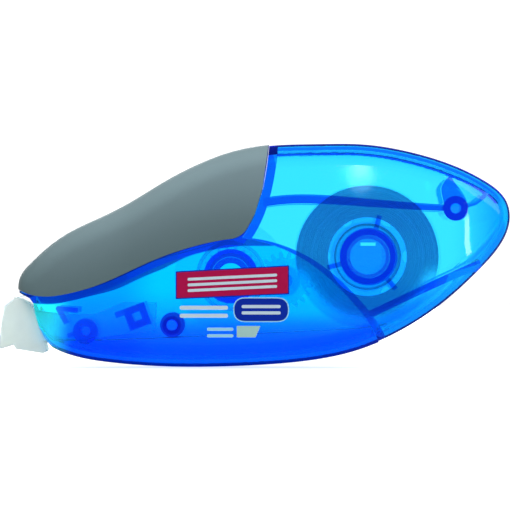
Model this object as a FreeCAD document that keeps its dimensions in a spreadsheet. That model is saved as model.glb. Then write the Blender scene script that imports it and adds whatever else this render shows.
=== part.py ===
import FreeCAD, Part
import math
import os
import Sketcher

# Correction tape roller, millimetres. X runs from the pressing edge to the tail, Y from
# the labelled left side to the right side, Z up. The origin is below the middle, on the floor.

doc = FreeCAD.newDocument("correction_tape_roller")
V = FreeCAD.Vector

# ---------------------------------------------------------------- sizes
SIZES = {
    "case_half_width": 8.5,
    "edge_round": 4.2,
    "shell_wall": 1.3,
    "cover_wall": 1.0,
    "cover_recess": 0.2,
    "grip_thickness": 1.5,
    "grip_gap": 0.05,
    "halves_gap": 0.05,
    "seam_gap": 0.06,
    "ledge_width": 1.3,
    "band_width": 1.7,
    "band_depth": 1.4,
    "flank_band_end": 4.4,
    "rim_lip_depth": 0.7,
    "rim_lip_half_width": 1.0,
    "rib_end": 3.2,
    "supply_x": 20.9,
    "supply_z": 20.4,
    "takeup_x": -4.4,
    "takeup_z": 16.8,
    "tape_width": 4.2,
    "film_thickness": 0.12,
    "supply_roll_radius": 13.2,
    "supply_core_radius": 7.3,
    "supply_core_bore": 6.2,
    "supply_flange_radius": 13.5,
    "takeup_roll_radius": 6.5,
    "takeup_core_radius": 5.8,
    "takeup_sleeve_radius": 4.2,
    "takeup_flange_radius": 10.5,
    "flange_thickness": 0.6,
    "flange_inner": 2.3,
    "supply_post_radius": 5.1,
    "supply_ring_outer": 5.3,
    "supply_ring_bore": 4.0,
    "supply_post_bore": 3.3,
    "takeup_post_radius": 3.5,
    "takeup_ring_outer": 5.0,
    "takeup_ring_bore": 3.6,
    "running_fit": 0.1,
    "gear_module": 0.5,
    "gear_start": 3.3,
    "gear_width": 2.0,
    "supply_teeth": 44,
    "idler_teeth": 20,
    "takeup_teeth": 20,
    "gear_backlash": 0.09,
    "idler_pin_radius": 1.5,
    "clutch_width": 1.6,
    "clutch_depth": 0.35,
    "roller_x": -15.25,
    "roller_z": 7.75,
    "roller_radius": 2.3,
    "roller_pin_radius": 0.9,
    "roller_half_length": 2.6,
    "nose_pin_x": -31.1,
    "nose_pin_z": 6.7,
    "nose_pin_radius": 0.8,
    "boss_radius": 2.3,
    "tail_boss_x": 36.9,
    "tail_boss_z": 29.3,
    "socket_x": -21.6,
    "socket_z": 9.4,
    "socket_side": 4.2,
    "socket_hole": 1.5,
    "peg_side": 1.3,
    "stem_half_width": 2.9,
    "blade_half_width": 2.3,
    "cheek_half_width": 3.1,
    "mouth_half_width": 3.4,
}

dims = doc.addObject("Spreadsheet::Sheet", "dims")
for row, (alias, value) in enumerate(SIZES.items(), start=1):
    dims.set("A%d" % row, alias)
    dims.set("B%d" % row, str(value))
    dims.setAlias("B%d" % row, alias)
doc.recompute()


def size(alias):
    """Reads one named size from the sheet."""
    return float(getattr(dims, alias))


# ---------------------------------------------------------------- outlines
# Side outline of the closed case, from under the nose, over the top and round the tail.
CASE_SIDE = [
    (-38.9, 4.7), (-42.0, 8.6), (-43.8, 13.0), (-43.6, 16.6), (-41.4, 19.4), (-38.2, 22.3),
    (-34.0, 25.1), (-28.9, 27.5), (-23.3, 30.3), (-17.0, 34.1), (-10.2, 37.6), (-4.6, 39.7),
    (2.0, 41.0), (11.5, 41.4), (20.5, 41.3), (28.0, 40.1), (36.4, 37.6), (43.0, 34.4),
    (46.6, 31.2), (47.5, 27.6), (45.8, 22.7), (42.0, 18.2), (34.6, 11.5), (27.1, 6.6),
    (18.0, 2.8), (8.0, 0.95), (-4.0, 0.15), (-16.0, 0.08), (-27.0, 0.85), (-34.5, 2.3),
]
# Half of the plan outline: nose end, flat flank, tail end.
PLAN_NOSE = [(-48.0, 4.3), (-42.0, 5.6), (-34.0, 7.0), (-24.0, 8.0), (-14.0, 8.45), (-8.0, 8.5)]
PLAN_TAIL = [(30.0, 8.5), (35.0, 8.35), (41.0, 7.5), (46.0, 6.2), (50.0, 4.9)]
# Parting line between the front shells and the rear covers, top to bottom.
SEAM_UPPER = [(2.9, 43.5), (1.4, 32.8), (0.0, 28.2), (-2.3, 23.8)]
SEAM_LOWER = [(-2.3, 23.8), (4.7, 22.0), (10.3, 19.0), (15.9, 14.2), (20.6, 8.6), (24.0, 2.0)]
# Lower edge of the soft grip, from the nose to its rear corner.
GRIP_EDGE = [(-46.5, 15.6), (-43.9, 14.3), (-41.9, 13.5), (-38.2, 13.0), (-34.5, 13.5),
             (-28.9, 15.1), (-19.5, 19.3), (-10.2, 22.5), (-2.3, 23.8)]
# Open mouth under the nose lip that the tip comes out of.
FRONT_RIM = [(-36.6, 2.85), (-37.4, 3.5), (-38.2, 4.5), (-38.95, 5.5), (-39.9, 7.7),
             (-40.4, 9.5), (-40.85, 11.8), (-41.5, 12.7), (-44.6, 14.2)]
# Side outlines of the tip: blade under the film, guide cheeks, stem inside the case.
BLADE = [(-46.95, 8.4), (-46.45, 11.05), (-44.5, 12.6), (-41.4, 11.0), (-41.4, 4.75),
         (-44.2, 4.35)]
CHEEK = [(-44.6, 12.9), (-44.7, 8.5), (-44.75, 4.15), (-44.25, 3.3), (-39.2, 2.5),
         (-38.7, 2.75), (-38.65, 3.2), (-38.95, 4.3), (-39.45, 5.7), (-40.15, 7.6),
         (-40.65, 9.4), (-41.1, 11.0), (-42.0, 11.8), (-43.4, 12.5)]
STEM = [(-42.0, 4.75), (-29.5, 5.35), (-18.6, 6.6), (-18.3, 11.8), (-24.5, 11.9),
        (-30.0, 9.6), (-36.2, 9.75), (-42.0, 10.4)]
RAMP = (-44.25, 4.32)
PRESS_EDGE = (-47.07, 3.75)
PRESS_RADIUS = 0.28
FILM_GAP = 0.03
SOCKET_TURN = -20
# Ribs of a rear cover: upper and lower edge of the long rib, both sides of the tail gusset.
LONG_RIB_TOP = [(1.6, 31.2), (6.0, 31.75), (12.2, 31.75), (18.0, 31.3), (27.0, 30.5), (35.4, 29.95)]
LONG_RIB_BASE = [(35.4, 28.8), (27.0, 29.15), (18.0, 29.75), (12.2, 30.1), (6.0, 30.1), (1.6, 29.5)]
GUSSET_FRONT = [(34.8, 29.4), (34.45, 31.4), (34.3, 33.2), (35.0, 34.4), (35.8, 35.2)]
GUSSET_BACK = [(35.8, 35.2), (36.5, 34.2), (37.6, 32.9), (38.5, 31.6), (39.1, 30.0)]


def spline(points, periodic=False):
    """Smooth curve through (x, z) points in the XZ plane."""
    curve = Part.BSplineCurve()
    curve.interpolate([V(x, 0, z) for x, z in points], PeriodicFlag=periodic)
    return curve


def inset_points(curve, inset, count, inward):
    """Points of a curve moved sideways by inset; inward is +1 or -1 along the turned tangent."""
    first, last = curve.FirstParameter, curve.LastParameter
    steps = count if curve.isPeriodic() else count - 1
    points = []
    for i in range(count):
        at = first + (last - first) * i / steps
        tangent = curve.tangent(at)[0]
        normal = V(tangent.z, 0, -tangent.x) * inward
        points.append(curve.value(at) + normal * inset)
    return points


def prism(points, half_depth=12.0, smooth=False):
    """Solid with a closed (x, z) outline, centred on Y."""
    vectors = [V(x, -half_depth, z) for x, z in points]
    wire = Part.makePolygon(vectors + vectors[:1])
    return Part.Face(wire).extrude(V(0, 2 * half_depth, 0))


def curve_prism(edges, half_depth=12.0):
    """Solid with a closed outline of edges in the XZ plane, centred on Y."""
    wire = Part.Wire(Part.__sortEdges__(edges))
    face = Part.Face(wire)
    face.translate(V(0, -half_depth, 0))
    return face.extrude(V(0, 2 * half_depth, 0))


def line(a, b):
    """Straight edge between two (x, z) points."""
    return Part.makeLine(V(a[0], 0, a[1]), V(b[0], 0, b[1]))


def plan_prism(inset):
    """Solid with the plan outline of the case, moved in by inset."""
    half = size("case_half_width") - inset
    rows = []
    for points in (PLAN_NOSE, PLAN_TAIL):
        curve = Part.BSplineCurve()
        tangents = {"InitialTangent": V(1, 0.22, 0), "FinalTangent": V(1, 0, 0)}
        if points is PLAN_TAIL:
            tangents = {"InitialTangent": V(1, 0, 0), "FinalTangent": V(1, -0.33, 0)}
        curve.interpolate([V(x, y - inset, 0) for x, y in points], **tangents)
        rows.append(curve.toShape())
    middle = Part.makeLine(V(PLAN_NOSE[-1][0], half, 0), V(PLAN_TAIL[0][0], half, 0))
    near = [edge.mirror(V(0, 0, 0), V(0, 1, 0)) for edge in (rows[0], middle, rows[1])]
    ends = []
    for x, y in (PLAN_NOSE[0], PLAN_TAIL[-1]):
        ends.append(Part.makeLine(V(x, inset - y, 0), V(x, y - inset, 0)))
    edges = [rows[0], middle, rows[1]] + near + ends
    face = Part.Face(Part.Wire(Part.__sortEdges__(edges)))
    face.translate(V(0, 0, -10))
    return face.extrude(V(0, 0, 70))


def pebble(inset):
    """The rounded case form, moved in by inset on every side."""
    outline = spline(CASE_SIDE, periodic=True)
    if inset:
        moved = inset_points(outline, inset, 72, 1)
        outline = Part.BSplineCurve()
        outline.interpolate(moved, PeriodicFlag=True)
    side = curve_prism([outline.toShape()])
    body = side.common(plan_prism(inset))
    rims = []
    for edge in body.Edges:
        ends = [vertex.Point for vertex in edge.Vertexes]
        straight = edge.Curve.TypeId == "Part::GeomLine"
        across = straight and abs(ends[0].y - ends[-1].y) > 1
        upright = straight and abs(ends[0].x - ends[-1].x) < 1e-6
        if not across and not upright:
            rims.append(edge)
    return body.makeFillet(size("edge_round") - inset, rims)


# ---------------------------------------------------------------- small solids
def tube(x, z, outer, inner, start, end):
    """Tube or pin along Y."""
    solid = Part.makeCylinder(outer, end - start, V(x, start, z), V(0, 1, 0))
    if inner:
        solid = solid.cut(Part.makeCylinder(inner, end - start + 2, V(x, start - 1, z), V(0, 1, 0)))
    return solid


def block(x0, x1, y0, y1, z0, z1):
    """Box between corner coordinates."""
    return Part.makeBox(x1 - x0, y1 - y0, z1 - z0, V(x0, y0, z0))


def rib(path, width, start, end):
    """Upright rib along an (x, z) path, between two Y values, with round corners."""
    parts = []
    for (x0, z0), (x1, z1) in zip(path, path[1:]):
        length = math.hypot(x1 - x0, z1 - z0)
        bar = Part.makeBox(length, end - start, width, V(0, start, -width / 2))
        bar.rotate(V(0, 0, 0), V(0, 1, 0), -math.degrees(math.atan2(z1 - z0, x1 - x0)))
        bar.translate(V(x0, 0, z0))
        parts.append(bar)
    for x, z in path[1:-1]:
        parts.append(Part.makeCylinder(width / 2, end - start, V(x, start, z), V(0, 1, 0)))
    solid = parts[0]
    if len(parts) > 1:
        solid = parts[0].multiFuse(parts[1:])
    return solid


def plate(one_edge, other_edge, start, end):
    """Plate with an outline of two smooth (x, z) edges, between two Y values."""
    edges = [spline(one_edge).toShape(), spline(other_edge).toShape()]
    edges.append(line(other_edge[-1], one_edge[0]))
    if one_edge[-1] != other_edge[0]:
        edges.append(line(one_edge[-1], other_edge[0]))
    face = Part.Face(Part.Wire(Part.__sortEdges__(edges)))
    face.translate(V(0, start, 0))
    return face.extrude(V(0, end - start, 0))


def joined(parts):
    """One solid from overlapping solids."""
    return parts[0].multiFuse(parts[1:]).removeSplitter()


def mirrored(shape):
    """The same shape on the other side of the middle plane."""
    return shape.mirror(V(0, 0, 0), V(0, 1, 0))


def add_feature(name, shape):
    """Adds a computed solid to the document under its own name."""
    feature = doc.addObject("Part::Feature", name)
    feature.Label = name
    feature.Shape = shape
    feature.Placement = FreeCAD.Placement()
    return feature


# ---------------------------------------------------------------- case regions
def grip_region(grow, shift=0.0):
    """Everything above the lower edge of the grip and ahead of the seam, grown downward."""
    edge = spline(GRIP_EDGE)
    points = inset_points(edge, grow, 24, 1)
    lower = Part.BSplineCurve()
    lower.interpolate(points)
    first, last = points[0], points[-1]
    seam = SEAM_UPPER[::-1]
    rear = [(last.x, last.z)] + [(x + shift, z) for x, z in seam[1:]]
    rear.append((rear[-1][0], 50))
    edges = [lower.toShape()]
    edges += [line(a, b) for a, b in zip(rear, rear[1:])]
    edges += [line(rear[-1], (first.x, 50)), line((first.x, 50), (first.x, first.z))]
    return curve_prism(edges)


def rounded_corner(solid, x, z, radius):
    """Rounds the cross edge of a prism that passes nearest to (x, z)."""
    def distance(edge):
        middle = edge.CenterOfMass
        return math.hypot(middle.x - x, middle.z - z)
    cross = [e for e in solid.Edges if abs(e.tangentAt(e.FirstParameter).y) > 0.99]
    return solid.makeFillet(radius, [min(cross, key=distance)])


def cover_region(shift):
    """Everything behind the seam, moved back by shift."""
    upper = spline([(x + shift, z) for x, z in SEAM_UPPER])
    lower = spline([(x + shift, z) for x, z in SEAM_LOWER])
    top = (SEAM_UPPER[0][0] + shift, SEAM_UPPER[0][1])
    bottom = (SEAM_LOWER[-1][0] + shift, SEAM_LOWER[-1][1])
    corners = [bottom, (bottom[0], -8), (60, -8), (60, 50), (top[0], 50), top]
    edges = [upper.toShape(), lower.toShape()]
    edges += [line(a, b) for a, b in zip(corners, corners[1:])]
    return curve_prism(edges)


def half(shape, side):
    """The left (-1) or right (+1) half of a shape, short of the middle plane."""
    gap = size("halves_gap")
    keep = block(-60, 60, gap, 12, -10, 60)
    if side < 0:
        keep = block(-60, 60, -12, -gap, -10, 60)
    return shape.common(keep)


# ---------------------------------------------------------------- case forms
outer_form = pebble(0)
grip_inner_form = pebble(size("grip_thickness"))
under_grip_form = pebble(size("grip_thickness") + size("grip_gap"))
shell_inner_form = pebble(size("shell_wall"))
under_grip_inner_form = pebble(size("grip_thickness") + size("grip_gap") + size("shell_wall"))
cover_form = pebble(size("cover_recess"))
cover_inner_form = pebble(size("cover_recess") + size("cover_wall"))
band_inner_form = pebble(size("cover_recess") + size("cover_wall") + size("band_depth"))
lip_inner_form = pebble(size("cover_recess") + size("cover_wall") + size("rim_lip_depth"))

GRIP_CORNER = (-2.3, 23.8)
CORNER_ROUND = 4.0
grip_block = rounded_corner(grip_region(0.0), GRIP_CORNER[0], GRIP_CORNER[1], CORNER_ROUND)
ledge_block = grip_region(size("ledge_width"), 2.0)
front_block = block(-60, 60, -12, 12, -10, 60).cut(cover_region(0.0))
rear_block = cover_region(size("seam_gap"))


# ---------------------------------------------------------------- soft grip
def soft_grip():
    """Rubber saddle that wraps over the top of the front shells."""
    small = grip_block.copy()
    small.translate(V(0, 0, size("grip_gap")))
    saddle = outer_form.common(small).common(front_block)
    return saddle.cut(grip_inner_form)


# ---------------------------------------------------------------- shell furniture
def front_posts(side):
    """Sockets, pins and ribs inside a front shell; side is -1 for left, +1 for right."""
    wall = size("case_half_width") - size("shell_wall") / 2
    nose_wall = wall - 1.4
    end = size("rib_end")
    boss = size("boss_radius")
    tx, tz = size("takeup_x"), size("takeup_z")
    nx, nz = size("nose_pin_x"), size("nose_pin_z")
    rx, rz = size("roller_x"), size("roller_z")
    pin = size("nose_pin_radius")
    parts = [rib([(-32.5, 10.5), (-36.1, 10.8), (-34.6, 8.1)], 1.0, -nose_wall, -end),
             rib([(nx - 1.5, nz - 0.4), (nx - 3.3, nz - 0.8)], 0.7, -nose_wall, -end)]
    if side < 0:
        parts.append(tube(tx, tz, size("takeup_ring_outer"), size("takeup_ring_bore"), -wall, -end))
        parts.append(tube(nx, nz, boss, pin + 0.05, -nose_wall, -end))
        parts.append(tube(rx, rz, 1.7, size("roller_pin_radius") + 0.05, -wall, -2.8))
        parts += square_socket()
        return parts
    parts.append(square_socket()[0])
    parts = [mirrored(part) for part in parts]
    post = size("takeup_post_radius")
    parts.append(tube(tx, tz, post, post - 1.1, -5.4, wall))
    parts.append(tube(tx, tz, 5.0, post - 0.2, 5.5, wall))
    parts.append(tube(nx, nz, boss, 0, end, nose_wall))
    parts.append(tube(nx, nz, pin, 0, -5.0, nose_wall))
    parts.append(tube(rx, rz, 1.7, 0, 2.8, wall))
    parts.append(tube(rx, rz, size("roller_pin_radius"), 0, -5.0, wall))
    ix, iz = idler_centre()
    parts.append(tube(ix, iz, size("idler_pin_radius"), 0, 3.1, wall))
    parts.append(tube(ix, iz, 3.0, 0, 5.5, wall))
    return parts


def square_socket():
    """Square socket for the tail of the tip's stem, and its arm."""
    wall = size("case_half_width") - size("shell_wall")
    end, reach, hole = size("rib_end"), size("socket_side") / 2, size("socket_hole") / 2
    body = block(-reach, reach, -wall, -end, -reach, reach)
    body = body.cut(block(-hole, hole, 0.6 - wall, 1 - end, -hole, hole))
    arm = block(-reach - 1.6, 0.5 - reach, -wall, -end, reach - 1.1, reach)
    return [socket_placed(body), socket_placed(arm)]


def socket_placed(piece):
    """Turns a piece drawn about the origin and moves it to the socket's centre."""
    piece.rotate(V(0, 0, 0), V(0, 1, 0), SOCKET_TURN)
    piece.translate(V(size("socket_x"), 0, size("socket_z")))
    return piece


def idler_centre():
    """Axis of the idler, below the line between the supply and take-up axes."""
    module = size("gear_module")
    far = module * (size("supply_teeth") + size("idler_teeth")) / 2
    near = module * (size("takeup_teeth") + size("idler_teeth")) / 2
    dx = size("supply_x") - size("takeup_x")
    dz = size("supply_z") - size("takeup_z")
    span = math.hypot(dx, dz)
    along = (near ** 2 - far ** 2 + span ** 2) / (2 * span)
    below = math.sqrt(near ** 2 - along ** 2)
    x = size("takeup_x") + (along * dx + below * dz) / span
    z = size("takeup_z") + (along * dz - below * dx) / span
    return x, z


def front_skin():
    """Hollow front of the case, both sides together, stepped in under the grip."""
    skin = outer_form.cut(grip_block.cut(under_grip_form)).common(front_block)
    return skin.cut([shell_inner_form.cut(ledge_block), under_grip_inner_form])


def front_shell(side, skin):
    """Left or right front shell with its sockets, pins and ribs."""
    shell = joined([half(skin, side)] + front_posts(side))
    shell = shell.cut(prism(FRONT_RIM + [(-52, 14.2), (-52, -4), (-36.6, -4)]))
    slot = size("mouth_half_width")
    shell = shell.cut(block(-46, -40.2, -slot, slot, 11, 15.1))
    return shell.cut(block(-46, -35.2, -slot, slot, 4.1, 11.5))


def cover_rib_end(side):
    """How near the middle plane a cover's ribs come: the gears need room on the right."""
    if side < 0:
        return size("rib_end")
    return size("gear_start") + size("gear_width") + 0.3


def cover_edge_ribs(side):
    """Ribs of a rear cover that run out to its rounded edge."""
    wall = size("case_half_width")
    end = cover_rib_end(side)
    bx, bz = size("tail_boss_x"), size("tail_boss_z")
    tail_rib = [(bx + 1.8, bz + 0.4), (40.6, 30.3), (42.05, 31.4), (43.6, 33.1)]
    parts = [rib([(21.2, 9.8), (41.4, 19.4)], 1.3, -wall, -end),
             plate(GUSSET_FRONT, GUSSET_BACK, -wall, -5.2),
             rib(tail_rib, 0.8, -wall, -5.2)]
    return parts if side < 0 else [mirrored(part) for part in parts]


def cover_posts(side):
    """Bearing ring or post, tail boss and inner ribs of a rear cover."""
    wall = size("case_half_width") - size("cover_recess") - size("cover_wall") / 2
    end = cover_rib_end(side)
    sx, sz = size("supply_x"), size("supply_z")
    bx, bz = size("tail_boss_x"), size("tail_boss_z")
    boss = size("boss_radius")
    parts = [plate(LONG_RIB_TOP, LONG_RIB_BASE, -wall, -end)]
    ring = size("supply_ring_outer")
    for turn in (75, 195, 310):
        c, s = math.cos(math.radians(turn)), math.sin(math.radians(turn))
        path = [(sx + 4.6 * c, sz + 4.6 * s), (sx + 7.8 * c, sz + 7.8 * s)]
        parts.append(rib(path, 0.9, -wall, -max(end, 4.4)))
    if side < 0:
        parts.append(tube(sx, sz, ring, size("supply_ring_bore"), -wall, -end))
        parts.append(tube(bx, bz, boss, 0.95, 0.6 - wall, -0.2))
        return parts
    parts = [mirrored(part) for part in parts]
    post, bore = size("supply_post_radius"), size("supply_post_bore")
    nose = size("supply_ring_bore") - size("running_fit")
    parts.append(tube(sx, sz, post, bore, -2.7, wall))
    parts.append(tube(sx, sz, nose, bore, -5.4, 0))
    parts.append(tube(sx, sz, nose, 0, -5.4, -4.4).cut(
        block(sx - 1.4, sx + 1.4, -6, -4, sz + 2.0, sz + 2.6)))
    parts.append(tube(sx, sz, 6.6, post - 0.2, 5.5, wall))
    parts.append(tube(bx, bz, boss, 0, 0.2, wall - 0.6))
    parts.append(tube(bx, bz, 0.9, 0, -4.0, wall - 0.6))
    return parts


def seam_band():
    """Inward band that stiffens the front edge of the rear covers, deeper on the flanks."""
    strip = rear_block.cut(cover_region(size("seam_gap") + size("band_width")))
    deep_side, gear_side = -size("flank_band_end"), cover_rib_end(1)
    hollow = band_inner_form.common(block(-60, 60, deep_side, gear_side, -10, 60))
    band = strip.common(cover_form).cut(hollow)
    return band.cut(block(10, 40, -3.3, 3.3, -5, 14))


def rim_lip():
    """Low lip inside the top edge, where the two covers meet."""
    reach = size("rim_lip_half_width")
    ring = cover_inner_form.cut(lip_inner_form).common(rear_block)
    return ring.common(block(2, 50, -reach, reach, 30.5, 45))


def cover_skin():
    """Hollow rear of the case, both sides together, with its front band and top lip."""
    skin = cover_form.cut(cover_inner_form).common(rear_block)
    return skin.multiFuse([seam_band(), rim_lip()])


def rear_cover(side, skin):
    """Left or right rear cover with its bearing, ribs and boss."""
    limit = pebble(size("cover_recess") + size("cover_wall") / 2)
    edge_ribs = [part.common(limit) for part in cover_edge_ribs(side)]
    return joined([half(skin, side)] + edge_ribs + cover_posts(side))


# ---------------------------------------------------------------- applicator tip
def applicator_tip():
    """Blade the film turns round, cheeks that guide it, and the stem held by the shells."""
    ex, ez = PRESS_EDGE
    round_points = []
    for turn in (180, 200, 220, 240, 260, 280):
        c, s = math.cos(math.radians(turn)), math.sin(math.radians(turn))
        round_points.append((ex + PRESS_RADIUS * c, ez + PRESS_RADIUS * s))
    blade = prism(BLADE + round_points[::-1], size("blade_half_width"))
    cheeks = prism(CHEEK, size("cheek_half_width"))
    cheeks = cheeks.cut(prism(CHEEK, size("blade_half_width")))
    stem = prism(STEM, size("stem_half_width"))
    bridge = prism([(-41.6, 4.75), (-39.2, 4.85), (-40.6, 9.2), (-41.4, 10.4)],
                   size("cheek_half_width"))
    side = size("peg_side") / 2
    peg = socket_placed(block(-side, side, -4.4, 2.5, -side, side))
    tip = joined([blade, cheeks, stem, bridge, peg])
    hole = size("nose_pin_radius") + 0.08
    return tip.cut(tube(size("nose_pin_x"), size("nose_pin_z"), hole, 0, -6, 6))


# ---------------------------------------------------------------- film
def ribbon(points, thickness):
    """Strip of film that follows (x, z) points, thickened to the left of their direction."""
    outer = []
    for i, (x, z) in enumerate(points):
        x0, z0 = points[max(i - 1, 0)]
        x1, z1 = points[min(i + 1, len(points) - 1)]
        a = math.atan2(z - z0, x - x0) if i else math.atan2(z1 - z, x1 - x)
        b = math.atan2(z1 - z, x1 - x) if i < len(points) - 1 else a
        turn = (b - a + math.pi) % (2 * math.pi) - math.pi
        normal = a + turn / 2 + math.pi / 2
        reach = thickness / math.cos(turn / 2)
        outer.append((x + reach * math.cos(normal), z + reach * math.sin(normal)))
    return prism(points + outer[::-1], size("tape_width") / 2)


def arc(centre, radius, start, end, step=9.0):
    """Points on an arc, angles in degrees."""
    count = max(2, int(abs(end - start) / step) + 1)
    points = []
    for i in range(count + 1):
        turn = math.radians(start + (end - start) * i / count)
        points.append((centre[0] + radius * math.cos(turn), centre[1] + radius * math.sin(turn)))
    return points


def tangent_angle(centre_a, radius_a, centre_b, radius_b, side):
    """Angle of the shared normal of the outer tangent of two circles, in degrees."""
    dx, dz = centre_b[0] - centre_a[0], centre_b[1] - centre_a[1]
    lean = math.acos((radius_a - radius_b) / math.hypot(dx, dz))
    return math.degrees(math.atan2(dz, dx) + side * lean) % 360


def coated_film_run():
    """Fresh film from the supply roll, under the guide roller, to the pressing edge."""
    supply = (size("supply_x"), size("supply_z"))
    roller = (size("roller_x"), size("roller_z"))
    supply_r = size("supply_roll_radius") + FILM_GAP
    roller_r = size("roller_radius") + FILM_GAP
    edge_r = PRESS_RADIUS + FILM_GAP
    leave = tangent_angle(roller, roller_r, supply, supply_r, -1)
    arrive = tangent_angle(roller, roller_r, RAMP, 0.0, 1)
    land = tangent_angle(PRESS_EDGE, edge_r, RAMP, 0.0, -1)
    path = arc(supply, supply_r, leave + 14, leave)
    path += arc(roller, roller_r, leave, arrive)
    path.append(RAMP)
    path += arc(PRESS_EDGE, edge_r, land, land - 50)
    return ribbon(path, size("film_thickness"))


def spent_film_run():
    """Bare film from the pressing edge, up the tip and back to the take-up reel."""
    takeup = (size("takeup_x"), size("takeup_z"))
    takeup_r = size("takeup_roll_radius") + FILM_GAP
    edge_r = PRESS_RADIUS + FILM_GAP
    front = [(x - FILM_GAP, z + FILM_GAP) for x, z in BLADE[:3]]
    start = tangent_angle(PRESS_EDGE, edge_r, RAMP, 0.0, -1) - 51
    rise = tangent_angle(PRESS_EDGE, edge_r, front[0], 0.0, 1)
    land = tangent_angle(takeup, takeup_r, front[-1], 0.0, -1)
    path = arc(PRESS_EDGE, edge_r, start, rise) + front
    path += arc(takeup, takeup_r, land, land - 20)
    return ribbon(path, size("film_thickness"))


# ---------------------------------------------------------------- gears
def gear_outline(teeth, phase):
    """Points of an involute gear outline about its own centre; phase in degrees."""
    module = size("gear_module")
    pitch = module * teeth / 2
    base = pitch * math.cos(math.radians(20))
    tip, root = pitch + 0.95 * module, pitch - 1.2 * module

    def involute(radius):
        angle = math.acos(min(1.0, base / radius))
        return math.tan(angle) - angle

    half_tooth = (math.pi * module / 2 - size("gear_backlash") / 2) / (2 * pitch)
    low = max(base, root)
    radii = [low + (tip - low) * i / 4 for i in range(5)]
    flank = [(r, half_tooth + involute(pitch) - involute(r)) for r in radii]
    if root < low:
        flank.insert(0, (root, flank[0][1]))
    points = []
    for tooth in range(teeth):
        centre = math.radians(phase) + 2 * math.pi * tooth / teeth
        for r, a in flank:
            points.append((r * math.cos(centre - a), r * math.sin(centre - a)))
        for r, a in flank[::-1]:
            points.append((r * math.cos(centre + a), r * math.sin(centre + a)))
    return points


def gear_disc(teeth, phase, x, z):
    """Toothed disc at its place on the far side of the spools."""
    start = size("gear_start")
    vectors = [V(x + a, start, z + b) for a, b in gear_outline(teeth, phase)]
    wire = Part.makePolygon(vectors + vectors[:1])
    return Part.Face(wire).extrude(V(0, size("gear_width"), 0))


def mesh_phase(phase_a, teeth_a, centre_a, teeth_b, centre_b):
    """Phase that puts gear b's gaps on gear a's teeth where they meet, in degrees."""
    along = math.degrees(math.atan2(centre_b[1] - centre_a[1], centre_b[0] - centre_a[0]))
    passed = (along - phase_a) * teeth_a / 360
    return along + 180 - 360 * (0.5 - passed) / teeth_b


supply_centre = (size("supply_x"), size("supply_z"))
takeup_centre = (size("takeup_x"), size("takeup_z"))
teeth_supply = int(size("supply_teeth"))
teeth_idler = int(size("idler_teeth"))
teeth_takeup = int(size("takeup_teeth"))
idler_phase = mesh_phase(0, teeth_supply, supply_centre, teeth_idler, idler_centre())
takeup_phase = mesh_phase(idler_phase, teeth_idler, idler_centre(), teeth_takeup, takeup_centre)


def supply_gear():
    """Large gear and the hub that carries the supply spool."""
    x, z = supply_centre
    bore = size("supply_post_radius") + size("running_fit")
    outer = size("supply_core_bore") - size("running_fit")
    start = -size("flange_inner") - 0.3
    disc = gear_disc(teeth_supply, 0, x, z)
    hub = tube(x, z, outer, 0, start, size("gear_start") + 1)
    gear = joined([disc, hub]).cut(tube(x, z, bore, 0, -9, 9))
    groove_half = size("clutch_width") / 2
    groove = tube(x, z, outer + 1, outer - size("clutch_depth"), -groove_half, groove_half)
    gear = gear.cut(groove)
    window = tube(x, z, 1.5, 0, -9, 9)
    window.translate(V(8.2, 0, 0))
    for turn in range(6):
        hole = window.copy()
        hole.rotate(V(x, 0, z), V(0, 1, 0), 60 * turn)
        gear = gear.cut(hole)
    return gear


def idler_gear():
    """Small gear between the supply and take-up gears."""
    x, z = idler_centre()
    bore = size("idler_pin_radius") + size("running_fit")
    return gear_disc(teeth_idler, idler_phase, x, z).cut(tube(x, z, bore, 0, 0, 9))


def take_up_gear():
    """Small gear with the sleeve that carries the take-up core and its flanges."""
    x, z = takeup_centre
    bore = size("takeup_post_radius") + size("running_fit")
    sleeve = tube(x, z, size("takeup_sleeve_radius"), 0, -size("flange_inner"),
                  size("gear_start") + 0.5)
    disc = gear_disc(teeth_takeup, takeup_phase, x, z)
    return joined([sleeve, disc]).cut(tube(x, z, bore, 0, -9, 9))


# ---------------------------------------------------------------- turned pieces
def origin_plane(body, role):
    """One of a body's own origin planes."""
    for feature in body.Origin.OriginFeatures:
        if feature.Role == role:
            return feature
    raise ValueError(role)


def turned_body(name, corners, place):
    """Body of revolution about Y; corners are (radius, along) expressions, place is x, y, z."""
    body = doc.addObject("PartDesign::Body", name)
    body.Label = name
    sketch = body.newObject("Sketcher::SketchObject", name + "_profile")
    sketch.AttachmentSupport = [(origin_plane(body, "XY_Plane"), "")]
    sketch.MapMode = "FlatFace"
    guess = [(dims_value(a), dims_value(b)) for a, b in corners]
    count = len(corners)
    for i in range(count):
        (x0, y0), (x1, y1) = guess[i], guess[(i + 1) % count]
        sketch.addGeometry(Part.LineSegment(V(x0, y0, 0), V(x1, y1, 0)), False)
    for i in range(count):
        sketch.addConstraint(Sketcher.Constraint("Coincident", i, 2, (i + 1) % count, 1))
    for i, (radius, along) in enumerate(corners):
        index = sketch.addConstraint(Sketcher.Constraint("DistanceX", -1, 1, i, 1, guess[i][0]))
        sketch.setExpression("Constraints[%d]" % index, radius)
        if guess[i][1] == 0:
            sketch.addConstraint(Sketcher.Constraint("PointOnObject", i, 1, -1))
            continue
        index = sketch.addConstraint(Sketcher.Constraint("DistanceY", -1, 1, i, 1, guess[i][1]))
        sketch.setExpression("Constraints[%d]" % index, along)
    turn = body.newObject("PartDesign::Revolution", name + "_turn")
    turn.Profile = sketch
    turn.ReferenceAxis = (sketch, ["V_Axis"])
    turn.Angle = 360
    sketch.Visibility = False
    for axis, expression in zip("xyz", place):
        if expression:
            body.setExpression(".Placement.Base." + axis, expression)
    return body


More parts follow.
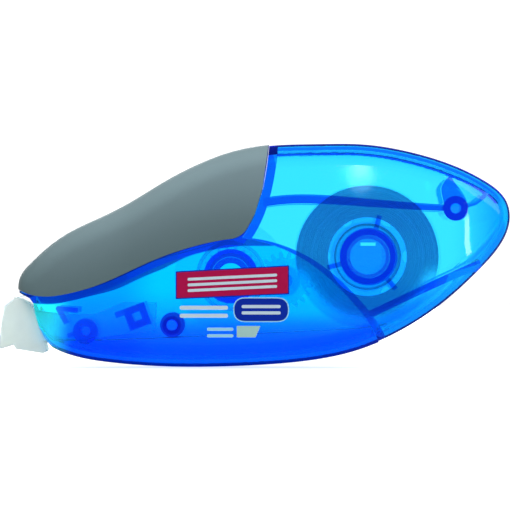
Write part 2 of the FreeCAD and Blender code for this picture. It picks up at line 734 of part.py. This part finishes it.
def dims_value(expression):
    """Number of a simple expression of sheet names, used as a sketch's first guess."""
    total = 0.0
    for sign, term in split_terms(expression):
        factor = 1.0
        for word in term.split("*"):
            word = word.strip()
            factor *= size(word[5:]) if word.startswith("dims.") else float(word)
        total += sign * factor
    return total


def split_terms(expression):
    """Signed terms of a sum such as 'dims.a - dims.b * 2'."""
    terms = []
    for word in expression.replace("-", "+-").split("+"):
        word = word.strip()
        if not word:
            continue
        sign = -1 if word.startswith("-") else 1
        terms.append((sign, word.lstrip("- ")))
    return terms


def ring_body(name, inner, outer, along, place):
    """Plain ring about Y, from radius and length expressions."""
    corners = [(inner, "0"), (outer, "0"), (outer, along), (inner, along)]
    return turned_body(name, corners, place)


SUPPLY_AXIS = ("dims.supply_x", "dims.supply_z")
TAKEUP_AXIS = ("dims.takeup_x", "dims.takeup_z")


def spool_pieces():
    """Both spools' cores, flanges and rolls, the clutch ring and the guide roller."""
    x, z = SUPPLY_AXIS
    length = "dims.flange_inner * 2"
    thick = "dims.flange_thickness"
    core_start = "-dims.flange_inner"
    near_start = "-dims.flange_inner - dims.flange_thickness - 0.05"
    far_start = "dims.flange_inner + 0.05"
    roll_start = "-dims.tape_width * 0.5"
    bore = "dims.supply_core_bore"
    rim = "dims.supply_flange_radius"
    ring_body("supply_core", bore, "dims.supply_core_radius", length, (x, core_start, z))
    ring_body("supply_near_flange", bore, rim, thick, (x, near_start, z))
    ring_body("supply_far_flange", bore, rim, thick, (x, far_start, z))
    ring_body("tape_supply_roll", "dims.supply_core_radius + 0.03", "dims.supply_roll_radius",
              "dims.tape_width", (x, roll_start, z))
    ring_body("clutch_ring", "dims.supply_core_bore - dims.running_fit - dims.clutch_depth + 0.03",
              "dims.supply_core_bore - 0.03", "dims.clutch_width - 0.1",
              (x, "-dims.clutch_width * 0.5 + 0.05", z))
    x, z = TAKEUP_AXIS
    bore = "dims.takeup_sleeve_radius + 0.05"
    rim = "dims.takeup_flange_radius"
    ring_body("take_up_core", bore, "dims.takeup_core_radius", length, (x, core_start, z))
    ring_body("take_up_near_flange", bore, rim, thick, (x, near_start, z))
    ring_body("take_up_far_flange", bore, rim, thick, (x, far_start, z))
    ring_body("take_up_roll", "dims.takeup_core_radius + 0.03", "dims.takeup_roll_radius",
              "dims.tape_width", (x, roll_start, z))
    ring_body("guide_roller", "dims.roller_pin_radius + dims.running_fit", "dims.roller_radius",
              "dims.roller_half_length * 2", ("dims.roller_x", "-dims.roller_half_length",
                                              "dims.roller_z"))


# ---------------------------------------------------------------- assembly
add_feature("soft_grip", soft_grip())
whole_front, whole_cover = front_skin(), cover_skin()
add_feature("left_body_shell", front_shell(-1, whole_front))
add_feature("right_body_shell", front_shell(1, whole_front))
add_feature("left_rear_cover", rear_cover(-1, whole_cover))
add_feature("right_rear_cover", rear_cover(1, whole_cover))
add_feature("applicator_tip", applicator_tip())
add_feature("coated_film_run", coated_film_run())
add_feature("spent_film_run", spent_film_run())
add_feature("supply_gear", supply_gear())
add_feature("idler_gear", idler_gear())
add_feature("take_up_gear", take_up_gear())
spool_pieces()
doc.recompute()

NODES = [
    "left_body_shell", "right_body_shell", "left_rear_cover", "right_rear_cover", "soft_grip",
    "applicator_tip", "coated_film_run", "spent_film_run", "guide_roller", "supply_core",
    "supply_near_flange", "supply_far_flange", "tape_supply_roll", "supply_gear", "clutch_ring",
    "idler_gear", "take_up_gear", "take_up_core", "take_up_near_flange", "take_up_far_flange",
    "take_up_roll",
]

for item in doc.Objects:
    if "Invalid" in item.State or "Error" in item.State:
        raise RuntimeError("%s did not recompute" % item.Name)
os.makedirs("parts", exist_ok=True)
for name in NODES:
    node = doc.getObject(name)
    if node.Shape.isNull() or not node.Shape.isValid():
        raise RuntimeError("%s has no valid shape" % name)
    if len(node.Shape.Solids) != 1:
        raise RuntimeError("%s has %d solids" % (name, len(node.Shape.Solids)))
    node.Shape.exportStep("parts/%s.step" % name)
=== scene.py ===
import math

import bmesh
import bpy
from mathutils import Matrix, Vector

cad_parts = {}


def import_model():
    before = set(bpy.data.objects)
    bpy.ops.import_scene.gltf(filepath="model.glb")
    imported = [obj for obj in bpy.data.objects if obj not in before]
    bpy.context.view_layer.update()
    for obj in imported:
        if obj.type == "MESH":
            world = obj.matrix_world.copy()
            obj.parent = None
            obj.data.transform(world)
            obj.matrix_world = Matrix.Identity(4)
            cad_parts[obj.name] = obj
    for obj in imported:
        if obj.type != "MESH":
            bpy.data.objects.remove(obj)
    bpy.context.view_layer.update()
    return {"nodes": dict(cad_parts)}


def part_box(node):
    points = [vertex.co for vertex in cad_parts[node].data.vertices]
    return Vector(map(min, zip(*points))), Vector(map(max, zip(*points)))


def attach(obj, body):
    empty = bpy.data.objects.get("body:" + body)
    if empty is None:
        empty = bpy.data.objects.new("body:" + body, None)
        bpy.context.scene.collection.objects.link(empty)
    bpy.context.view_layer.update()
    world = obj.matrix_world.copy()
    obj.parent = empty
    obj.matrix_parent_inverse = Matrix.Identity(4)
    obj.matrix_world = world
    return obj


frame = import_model()
MM = 0.001
PLAIN = (1, 1, 1, 1)
BLACK = (0, 0, 0, 1)
scene = bpy.context.scene


# ------------------------------------------------------------------ node helpers
class Nodes:
    """Short ways to add and link shader nodes in one material or world."""

    def __init__(self, owner):
        owner.use_nodes = True
        self.owner = owner
        self.tree = owner.node_tree
        self.tree.nodes.clear()

    def add(self, kind, inputs=None, **settings):
        """Adds a node; each input takes a plain value or another node's output."""
        node = self.tree.nodes.new(kind)
        for key, value in settings.items():
            setattr(node, key, value)
        for key, value in (inputs or {}).items():
            if isinstance(value, bpy.types.NodeSocket):
                self.tree.links.new(value, node.inputs[key])
            else:
                node.inputs[key].default_value = value
        return node

    def math(self, operation, a, b=0.0, c=0.0, clamp=False):
        node = self.add("ShaderNodeMath", {0: a, 1: b, 2: c}, operation=operation, use_clamp=clamp)
        return node.outputs[0]

    def product(self, a, b):
        return self.math("MULTIPLY", a, b)

    def without(self, share, other):
        """What is left of a share after another is taken away, and never below zero."""
        return self.math("SUBTRACT", share, other, clamp=True)

    def mix(self, factor, a, b, blend="MIX"):
        return self.add("ShaderNodeMix", {0: factor, 6: a, 7: b}, data_type="RGBA",
                        blend_type=blend).outputs[2]

    def multiply(self, a, b):
        return self.mix(1.0, a, b, "MULTIPLY")

    def place(self):
        """The point's own coordinates on its piece."""
        return self.add("ShaderNodeTexCoord").outputs["Object"]

    def split(self, vector):
        """X, Y and Z of a vector."""
        return self.add("ShaderNodeSeparateXYZ", {0: vector}).outputs

    def ramp(self, value, low, high):
        """Rises smoothly from zero at low to one at high."""
        node = self.add("ShaderNodeMapRange", {0: value, 1: low, 2: high, 3: 0.0, 4: 1.0},
                        interpolation_type="SMOOTHSTEP")
        return node.outputs[0]

    def noise(self, scale, detail=3.0):
        return self.add("ShaderNodeTexNoise", {"Vector": self.place(), "Scale": scale,
                                               "Detail": detail, "Roughness": 0.5}).outputs[0]

    def bump(self, height, distance, strength):
        return self.add("ShaderNodeBump", {"Height": height, "Distance": distance,
                                           "Strength": strength}).outputs[0]

    def radius(self, x, z):
        """Distance from an axis along Y, in metres."""
        moved = self.add("ShaderNodeVectorMath", {0: self.place(), 1: (-x, 0, -z)},
                         operation="ADD")
        flat = self.add("ShaderNodeVectorMath", {0: moved.outputs[0], 1: (1, 0, 1)},
                        operation="MULTIPLY")
        return self.add("ShaderNodeVectorMath", {0: flat.outputs[0]},
                        operation="LENGTH").outputs["Value"]

    def surface(self, shader, volume=None):
        """Ends the material in its shader and volume nodes and returns it."""
        ends = {"Surface": shader.outputs[0]}
        if volume:
            ends["Volume"] = volume.outputs[0]
        self.add("ShaderNodeOutputMaterial", ends)
        return self.owner


def new_material(name):
    return Nodes(bpy.data.materials.new(name))


def grey(level):
    return (level, level, level, 1)


def shade(colour, level):
    """The colour at level times its brightness, with no channel above one."""
    return tuple(min(1.0, level * channel) for channel in colour[:3]) + (1,)


# ------------------------------------------------------------------ materials
# Lower edge of the grip as (x, z) in millimetres.
GRIP_EDGE = ((-46.5, 15.6), (-43.9, 14.3), (-41.9, 13.5), (-38.2, 13.0), (-34.5, 13.5),
             (-28.9, 15.1), (-19.5, 19.3), (-10.2, 22.5), (-2.3, 23.8))
# Bores and pins whose ends stay clear, as x, z and radius in millimetres.
BORES = ((-31.1, 6.7, 0.85), (-15.25, 7.75, 1.0), (36.9, 29.3, 0.9))
# Half the width within which a face counts as a rib's or pin's end, in millimetres.
INSIDE = 5.65
# Width of the lip below the grip, and how much wider it gets about its middle.
LIP_WIDTH = 1.3
LIP_EXTRA = 0.75
# Height that stands for one in the curve of the grip's edge, in millimetres.
CURVE_TOP = 40.0
# Colours of a painted glow given off by the plastic itself, and by the ends of pins, before its
# strength.
PAINTED_GLOW = (0, 0.12, 1, 1)
PIN_GLOW = (0.4, 4, 16, 1)
# Two places along X that lie ahead of the whole object.
NOWHERE = (-200.0, -190.0)


def axis_of(node_name):
    """Where the axis of a round node crosses the XZ plane, in metres."""
    low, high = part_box(node_name)
    return (low.x + high.x) / 2, (low.z + high.z) / 2


def grip_edge(n, x):
    """Height of the grip's lower edge at x, in metres."""
    start, end = GRIP_EDGE[0][0], GRIP_EDGE[-1][0]
    share = n.add("ShaderNodeMapRange", {0: x, 1: start * MM, 2: end * MM}).outputs[0]
    node = n.add("ShaderNodeFloatCurve", {"Value": share})
    points = node.mapping.curves[0].points
    for i, (edge_x, edge_z) in enumerate(GRIP_EDGE):
        place = ((edge_x - start) / (end - start), edge_z / CURVE_TOP)
        if i < 2:  # a new curve already has two points
            points[i].location = place
        else:
            points.new(*place)
    node.mapping.update()
    return n.product(node.outputs[0], CURVE_TOP * MM)


def lip_share(n, place):
    """One on the lip below the grip, which is widest about its middle, and zero elsewhere."""
    x = place["X"]
    wide = n.product(n.ramp(x, -32.0 * MM, -24.0 * MM), n.ramp(x, -11.0 * MM, -18.0 * MM))
    below = n.math("SUBTRACT", grip_edge(n, x), place["Z"])
    depth = n.math("SUBTRACT", below, n.product(wide, LIP_EXTRA * MM))
    return n.ramp(depth, (LIP_WIDTH + 0.2) * MM, LIP_WIDTH * MM)


def rib_shares(n, place):
    """Shares of rib ends and of pin ends: inner faces square to the width of the case."""
    normal = n.add("ShaderNodeNewGeometry").outputs["True Normal"]
    facing = n.math("ABSOLUTE", n.split(normal)["Y"])
    inner = n.ramp(n.math("ABSOLUTE", place["Y"]), (INSIDE + 0.1) * MM, INSIDE * MM)
    faces = n.product(inner, n.ramp(facing, 0.9965, 0.9985))
    ribs = faces
    for x, z, bore in BORES:
        radius = n.radius(x * MM, z * MM)
        ribs = n.product(ribs, n.ramp(radius, (bore - 0.1) * MM, (bore + 0.1) * MM))
    return ribs, n.without(faces, ribs)


def clear_plastic(name, absorb, density, shadow, rib_tint, painted_shade_zones=(), lip_tint=None,
                  front_at=NOWHERE, front_glow=PAINTED_GLOW, glow=0.05):
    """See-through tinted plastic whose rib ends read darker.

    absorb and density are the colour and strength of the absorption inside the plastic, shadow is
    the colour of its shadow, and rib_tint the colour on its rib ends.
    painted_shade_zones are (axis, clear_from, full_at, colour): painted shade, the plastic
    darkening toward the colour along X or Z.
    lip_tint colours the thick lip along the lower edge of the grip.
    front_at is two places along X: ahead of them the painted shade fades out and front_glow, a
    painted glow, takes over.
    glow is the strength of a painted glow, given off by the plastic itself, which keeps its edges
    from going black.
    """
    n = new_material(name)
    place = n.split(n.place())
    # Base colour: the rib and lip colours, and painted shade that darkens the plastic along X or
    # Z.
    tint_and_shade = PLAIN
    for axis, clear_from, full_at, colour in painted_shade_zones:
        share = n.ramp(place[axis], clear_from * MM, full_at * MM)
        tint_and_shade = n.multiply(tint_and_shade, n.mix(share, PLAIN, colour))
    # Toward the nose the painted shade clears and a painted glow takes over.
    front = n.ramp(place["X"], front_at[1] * MM, front_at[0] * MM)
    tint_and_shade = n.mix(front, tint_and_shade, PLAIN)
    if lip_tint:
        lip = lip_share(n, place)
        tint_and_shade = n.multiply(tint_and_shade, n.mix(lip, PLAIN, lip_tint))
        front = n.without(front, lip)
    ribs, pins = rib_shares(n, place)
    front = n.without(front, ribs)
    tint_and_shade = n.mix(ribs, tint_and_shade, rib_tint)
    # Painted glow, no lamp: faint all over, cyan toward the nose and strong on the ends of pins.
    painted_glow_colour = n.mix(pins, n.mix(front, PAINTED_GLOW, front_glow), PIN_GLOW)
    glass = n.add("ShaderNodeBsdfPrincipled", {
        "Base Color": tint_and_shade, "Roughness": n.math("MULTIPLY_ADD", n.noise(90.0), 0.05, 0.02),
        "IOR": 1.49, "Transmission Weight": 1.0, "Emission Color": painted_glow_colour,
        "Emission Strength": glow, "Normal": n.bump(n.noise(160.0, 1.0), 0.00002, 0.5)})
    n.owner.cycles.emission_sampling = "NONE"
    lamp = n.add("ShaderNodeBsdfTransparent", {"Color": shadow})
    path = n.add("ShaderNodeLightPath").outputs["Is Shadow Ray"]
    shader = n.add("ShaderNodeMixShader", {0: path, 1: glass.outputs[0], 2: lamp.outputs[0]})
    volume = n.add("ShaderNodeVolumeAbsorption", {"Color": absorb, "Density": density})
    return n.surface(shader, volume)


def rubber(name, colour, rough, low_shade_colour=None):
    """Soft matt rubber with a fine grain and a little sheen.

    low_shade_colour is painted shade: the rubber darkens to it toward the grip's lower edge.
    """
    n = new_material(name)
    # Painted shade: the rubber darker toward the grip's lower edge.
    if low_shade_colour:
        place = n.split(n.place())
        above = n.math("SUBTRACT", place["Z"], grip_edge(n, place["X"]))
        colour = n.mix(n.ramp(above, -1.0 * MM, 16.0 * MM), low_shade_colour, colour)
    tone = n.multiply(colour, n.mix(n.noise(60.0, 4.0), grey(0.88), PLAIN))
    grain = n.noise(900.0, 2.0)
    return n.surface(n.add("ShaderNodeBsdfPrincipled", {
        "Base Color": tone, "Roughness": n.math("MULTIPLY_ADD", grain, 0.12, rough),
        "Normal": n.bump(grain, 0.00003, 0.35), "Sheen Weight": 0.25, "Sheen Roughness": 0.4,
        "Specular IOR Level": 0.4}))


def milky(n, solid, tone, glow, clear):
    """A solid surface that passes a share glow diffusely and is see-through by a share clear."""
    through = n.add("ShaderNodeBsdfTranslucent", {"Color": tone})
    cloudy = n.add("ShaderNodeMixShader", {0: glow, 1: solid.outputs[0], 2: through.outputs[0]})
    open_way = n.add("ShaderNodeBsdfTransparent", {"Color": (0.9, 0.97, 1, 1)})
    return n.surface(n.add("ShaderNodeMixShader", {
        0: clear, 1: cloudy.outputs[0], 2: open_way.outputs[0]}))


def moulded(name, colour, rough, glow=0.0, clear=0.0, clear_from=None):
    """Moulded plastic, slightly mottled; behind clear_from millimetres along X it clears."""
    n = new_material(name)
    tone = n.mix(n.noise(220.0, 3.0), shade(colour, 0.9), shade(colour, 1.08))
    grain = n.noise(1500.0, 2.0)
    solid = n.add("ShaderNodeBsdfPrincipled", {
        "Base Color": tone, "Roughness": n.math("MULTIPLY_ADD", grain, 0.1, rough), "IOR": 1.45,
        "Normal": n.bump(grain, 0.00002, 0.3)})
    if clear_from is not None:
        x = n.split(n.place())["X"]
        clear = n.product(n.ramp(x, clear_from * MM, (clear_from + 3.0) * MM), clear)
    return milky(n, solid, tone, glow, clear)


def wound(name, colour, axis, pitch, glow, clear, low_clear=0.0):
    """Wound film: fine rings round an axis on the flat sides, pitch millimetres apart.

    low_clear is how see-through the outer turns are wherever they are low in the case, behind
    the hazier front shell.
    """
    n = new_material(name)
    radius = n.radius(*axis)
    turns = n.math("SINE", n.product(radius, 2 * math.pi / (pitch * MM)))
    along = n.add("ShaderNodeCombineXYZ", {0: radius}).outputs[0]
    band = n.add("ShaderNodeTexNoise", {"Vector": along, "Scale": 1800.0, "Detail": 4.0})
    tone = n.mix(n.ramp(band.outputs[0], 0.3, 0.7), shade(colour, 0.72), colour)
    solid = n.add("ShaderNodeBsdfPrincipled", {
        "Base Color": tone, "Roughness": 0.55, "Normal": n.bump(turns, 0.00002, 0.4)})
    if low_clear:
        z = n.split(n.add("ShaderNodeNewGeometry").outputs["Position"])["Z"]
        outer = n.ramp(radius, 8.5 * MM, 12.8 * MM)
        lower = n.ramp(z, 21.0 * MM, 16.0 * MM)
        clear = n.product(n.product(outer, lower), low_clear)
    return milky(n, solid, tone, glow, clear)


def ink(name, colour):
    """Printed ink with a slightly uneven coat."""
    n = new_material(name)
    tone = n.mix(n.noise(700.0, 3.0), shade(colour, 0.9), colour)
    return n.surface(n.add("ShaderNodeBsdfPrincipled", {
        "Base Color": tone, "Roughness": 0.4, "Specular IOR Level": 0.2,
        "Normal": n.bump(n.noise(2500.0, 2.0), 0.00001, 0.3)}))


# Painted shade darkens the shell toward its bottom and toward the nose; a painted cyan glow lights
# the nose.
shell_blue = clear_plastic(
    "shell_blue_clear", absorb=(0.0, 0.94, 0.993, 1), density=4000.0, shadow=(0.25, 0.9, 0.98, 1),
    rib_tint=(0.05, 0.42, 0.93, 1), lip_tint=(0.2, 0.4, 0.65, 1),
    painted_shade_zones=(("Z", 15.0, 4.5, (0.3, 0.5, 0.97, 1)), ("X", -17.0, -26.0, (0.7, 0.8, 0.98, 1))),
    front_at=(-38.0, -33.5), front_glow=(0.4, 3.0, 1.0, 1))
# Painted shade darkens the cover toward its tail and its bottom; a faint painted glow keeps its
# edges from going black.
cover_cyan = clear_plastic(
    "cover_cyan_clear", absorb=(0.15, 0.91, 0.985, 1), density=2000.0,
    shadow=(0.25, 0.9, 0.98, 1), rib_tint=(0.05, 0.36, 0.93, 1),
    painted_shade_zones=(("X", 36.0, 47.0, (0.25, 0.7, 0.95, 1)), ("Z", 17.0, 8.0, (0.2, 0.78, 0.97, 1))),
    glow=0.035)
spool_plastic = clear_plastic(
    "spool_clear_plastic", absorb=(0.6, 0.9, 0.98, 1), density=500.0,
    shadow=(0.88, 0.95, 0.98, 1), rib_tint=(0.9, 0.95, 1, 1))
# The grip darkens toward its lower edge in painted shade.
grip_rubber = rubber("grip_rubber_soft", (0.228, 0.325, 0.355, 1), rough=0.5,
                     low_shade_colour=(0.115, 0.178, 0.19, 1))
clutch_grey = rubber("clutch_pale_rubber", (0.5, 0.6, 0.62, 1), rough=0.6)
frosted = moulded("frosted_tip_plastic", (0.86, 0.9, 0.83, 1), rough=0.42, glow=0.4, clear=0.6,
                  clear_from=-39.0)
film_white = moulded("coated_film_white", (0.85, 0.87, 0.86, 1), rough=0.5, glow=0.2)
film_bare = moulded("spent_film_clear", (0.78, 0.84, 0.84, 1), rough=0.3, glow=0.4, clear=0.6)
gear_white = moulded("gear_white_plastic", (0.8, 0.87, 0.9, 1), rough=0.35, glow=0.5, clear=0.62)
roller_blue = moulded("roller_blue_plastic", (0.01, 0.16, 0.75, 1), rough=0.3)
roll_coated = wound("coated_roll", (0.5, 0.5, 0.56, 1), axis_of("supply_core"), pitch=0.35,
                    glow=0.1, clear=0.0, low_clear=0.9)
roll_spent = wound("spent_roll", (0.8, 0.86, 0.86, 1), axis_of("take_up_core"), pitch=0.3,
                   glow=0.5, clear=0.65)

FINISH = {
    "left_body_shell": shell_blue, "right_body_shell": shell_blue,
    "left_rear_cover": cover_cyan, "right_rear_cover": cover_cyan,
    "soft_grip": grip_rubber, "applicator_tip": frosted,
    "coated_film_run": film_white, "spent_film_run": film_bare,
    "tape_supply_roll": roll_coated, "take_up_roll": roll_spent,
    "guide_roller": roller_blue, "supply_core": spool_plastic,
    "supply_near_flange": spool_plastic, "supply_far_flange": spool_plastic,
    "take_up_core": spool_plastic, "take_up_near_flange": spool_plastic,
    "take_up_far_flange": spool_plastic, "supply_gear": gear_white,
    "idler_gear": gear_white, "take_up_gear": gear_white, "clutch_ring": clutch_grey,
}
for node_name, material in FINISH.items():
    slots = frame["nodes"][node_name].data.materials
    slots.clear()
    slots.append(material)


# ------------------------------------------------------------------ printed label
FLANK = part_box("left_body_shell")[0].y
PRINT_THICKNESS = 0.012
CORNER_STEPS = 6
# How far the layers of print stand off the flank, in millimetres.
BASE, PANEL, MARK = 0.03, 0.05, 0.07


def printed(name, outline, lift, material, round_by=0.0):
    """Thin print on the left flank, its (x, z) outline in millimetres with rounded corners."""
    mesh = bpy.data.meshes.new(name)
    bm = bmesh.new()
    corners = []
    count = len(outline)
    for i, point in enumerate(outline):
        here = Vector(point)
        before = Vector(outline[i - 1]) - here
        after = Vector(outline[(i + 1) % count]) - here
        reach = min(round_by, before.length * 0.49, after.length * 0.49)
        if reach <= 0:
            corners.append(here)
            continue
        a, b = here + before.normalized() * reach, here + after.normalized() * reach
        for k in range(CORNER_STEPS + 1):
            t = k / CORNER_STEPS
            corners.append((1 - t) ** 2 * a + 2 * t * (1 - t) * here + t * t * b)
    y = FLANK - lift * MM
    face = bm.faces.new([bm.verts.new((p.x * MM, y, p.y * MM)) for p in corners])
    solid = bmesh.ops.extrude_face_region(bm, geom=[face])
    moved = [v for v in solid["geom"] if isinstance(v, bmesh.types.BMVert)]
    bmesh.ops.translate(bm, verts=moved, vec=(0, PRINT_THICKNESS * MM, 0))
    bmesh.ops.recalc_face_normals(bm, faces=bm.faces)
    bm.to_mesh(mesh)
    bm.free()
    piece = bpy.data.objects.new(name, mesh)
    scene.collection.objects.link(piece)
    mesh.materials.append(material)
    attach(piece, "case")


def bar(x0, x1, z0, z1):
    """Corners of an upright bar."""
    return [(x0, z0), (x1, z0), (x1, z1), (x0, z1)]


def lines(name, x0, x1, z0, z1, lift, material, count=2, rise=0.0):
    """Equal plain lines from x0 to x1, stacked from z0 to z1, which climb by rise."""
    thick = (z1 - z0) / (2 * count - 1)
    for i in range(count):
        low = z0 + 2 * i * thick
        outline = [(x0, low), (x1, low + rise), (x1, low + rise + thick), (x0, low + thick)]
        printed("%s_%d" % (name, i + 1), outline, lift, material, thick / 2)


def label():
    """Unbroken lines in place of lettering, on a red panel, a pill and two rows."""
    red = ink("ink_red", (0.45, 0.004, 0.07, 1))
    navy = ink("ink_navy", (0.001, 0.025, 0.38, 1))
    white = ink("ink_white", (0.6, 0.74, 0.82, 1))
    pale = ink("ink_pale", (0.36, 0.7, 0.88, 1))
    cream = ink("ink_cream", (0.42, 0.66, 0.6, 1))
    printed("panel_edge", [(-14.5, 12.6), (6.33, 13.5), (6.3, 18.8), (-14.5, 17.7)], BASE,
            navy, 0.2)
    printed("panel_red", [(-14.28, 12.83), (6.1, 13.72), (6.08, 18.58), (-14.28, 17.48)], PANEL,
            red, 0.15)
    lines("panel_line", -12.3, 4.1, 13.9, 16.5, MARK, white, count=3, rise=0.8)
    printed("pill_edge", bar(-3.95, 6.3, 8.4, 12.95), BASE, pale, 2.3)
    printed("pill_navy", bar(-3.75, 6.1, 8.6, 12.75), PANEL, navy, 2.1)
    lines("pill_line", -2.4, 4.75, 9.8, 11.55, MARK, white)
    lines("row_line", -13.75, -4.9, 9.2, 11.4, PANEL, white)
    lines("small_line", -8.75, -3.9, 5.6, 7.4, PANEL, pale)
    printed("film_mark", [(-3.3, 5.6), (0.15, 5.6), (1.05, 7.7), (-3.3, 7.7)], PANEL, cream, 0.1)


label()


# ------------------------------------------------------------------ stage
def floor():
    """Large pale floor under the object.

    It glows white toward the camera, and bluish near the object to rays that leave the plastic.
    """
    mesh = bpy.data.meshes.new("floor")
    bm = bmesh.new()
    bmesh.ops.create_circle(bm, cap_ends=True, segments=96, radius=3.0)
    bm.to_mesh(mesh)
    bm.free()
    ground = bpy.data.objects.new("floor", mesh)
    ground.location.z = -0.0002
    scene.collection.objects.link(ground)
    n = new_material("floor_pale")
    away = n.add("ShaderNodeVectorMath", {0: n.place()}, operation="LENGTH").outputs["Value"]
    path = n.add("ShaderNodeLightPath")
    far = n.ramp(away, 0.2, 1.2)
    near = n.ramp(away, 0.02, 0.5)
    seen = n.mix(far, grey(0.72), grey(1.17))
    through = n.mix(near, (0.15, 0.5, 1.05, 1), grey(1.15))
    glow = n.mix(path.outputs["Is Transmission Ray"], BLACK, through)
    glow = n.mix(path.outputs["Is Camera Ray"], glow, seen)
    colour = n.mix(path.outputs["Is Glossy Ray"], (0.45, 0.455, 0.46, 1), grey(0.06))
    paint = n.add("ShaderNodeBsdfPrincipled", {
        "Base Color": colour, "Roughness": 0.7, "Specular IOR Level": 0.1,
        "Emission Color": glow, "Emission Strength": 1.0})
    mesh.materials.append(n.surface(paint))


def area_light(name, place, target, size, power, mirrored=True, shape="RECTANGLE"):
    """Soft lamp aimed at a point; an unmirrored one shows in no reflection or refraction."""
    lamp = bpy.data.lights.new(name, "AREA")
    lamp.shape = shape
    lamp.size, lamp.size_y = size
    lamp.energy = power
    holder = bpy.data.objects.new(name, lamp)
    holder.location = place
    holder.rotation_euler = (Vector(target) - Vector(place)).to_track_quat("-Z", "Y").to_euler()
    holder.visible_glossy = mirrored
    holder.visible_transmission = mirrored
    scene.collection.objects.link(holder)


def world():
    """White surround; steep rays that leave clear plastic meet a blue one, as its edges show."""
    surround = bpy.data.worlds.new("surround")
    n = Nodes(surround)
    height = n.split(n.add("ShaderNodeTexCoord").outputs["Generated"])["Z"]
    steep = n.ramp(n.math("ABSOLUTE", height), 0.2, 0.65)
    through = n.mix(steep, grey(1.2), (0.08, 0.3, 1.2, 1))
    path = n.add("ShaderNodeLightPath")
    colour = grey(0.06)
    for ray, level in (("Is Diffuse Ray", grey(0.14)), ("Is Transmission Ray", through),
                       ("Is Camera Ray", grey(1.2))):
        colour = n.mix(path.outputs[ray], colour, level)
    back = n.add("ShaderNodeBackground", {0: colour, 1: 1.0})
    n.add("ShaderNodeOutputWorld", {0: back.outputs[0]})
    scene.world = surround


def camera():
    """Long lens, level with the middle of the object and square to its left side."""
    lens = bpy.data.cameras.new("camera")
    lens.lens = 180.0
    lens.sensor_width = 36.0
    lens.clip_start = 0.01
    width = 95.15 * MM  # seen across the picture
    eye = bpy.data.objects.new("camera", lens)
    eye.location = (0.05 * MM, -width * lens.lens / lens.sensor_width, 20.7 * MM)
    eye.rotation_euler = (math.pi / 2, 0, 0)
    scene.collection.objects.link(eye)
    scene.camera = eye


floor()
world()
MIDDLE = (0, 0, 0.02)
SHOULDER = (0.0193, 0, 0.0371)
area_light("key", (-0.15, -0.35, 0.55), MIDDLE, (0.5, 0.35), 4.0, mirrored=False)
area_light("fill", (0.45, -0.4, 0.25), MIDDLE, (0.4, 0.4), 0.7)
area_light("back", (0.0, 0.5, 0.2), MIDDLE, (0.6, 0.3), 7.0, mirrored=False)
# Small lamps whose mirror images are the glints on the cover's shoulder and tail.
area_light("shoulder_glint", (0.0357, -0.406, 0.051), SHOULDER, (0.005, 0.009), 0.0004,
           shape="ELLIPSE")
area_light("shoulder_halo", (0.0357, -0.405, 0.051), SHOULDER, (0.011, 0.018), 0.001,
           shape="ELLIPSE")
area_light("tail_glint", (0.215, -0.414, 0.02), (0.039, 0, 0.02), (0.018, 0.03), 0.014)
camera()
scene.view_settings.view_transform = "Standard"
scene.cycles.max_bounces = 48
scene.cycles.transmission_bounces = 48
scene.cycles.transparent_max_bounces = 24
scene.cycles.use_denoising = True
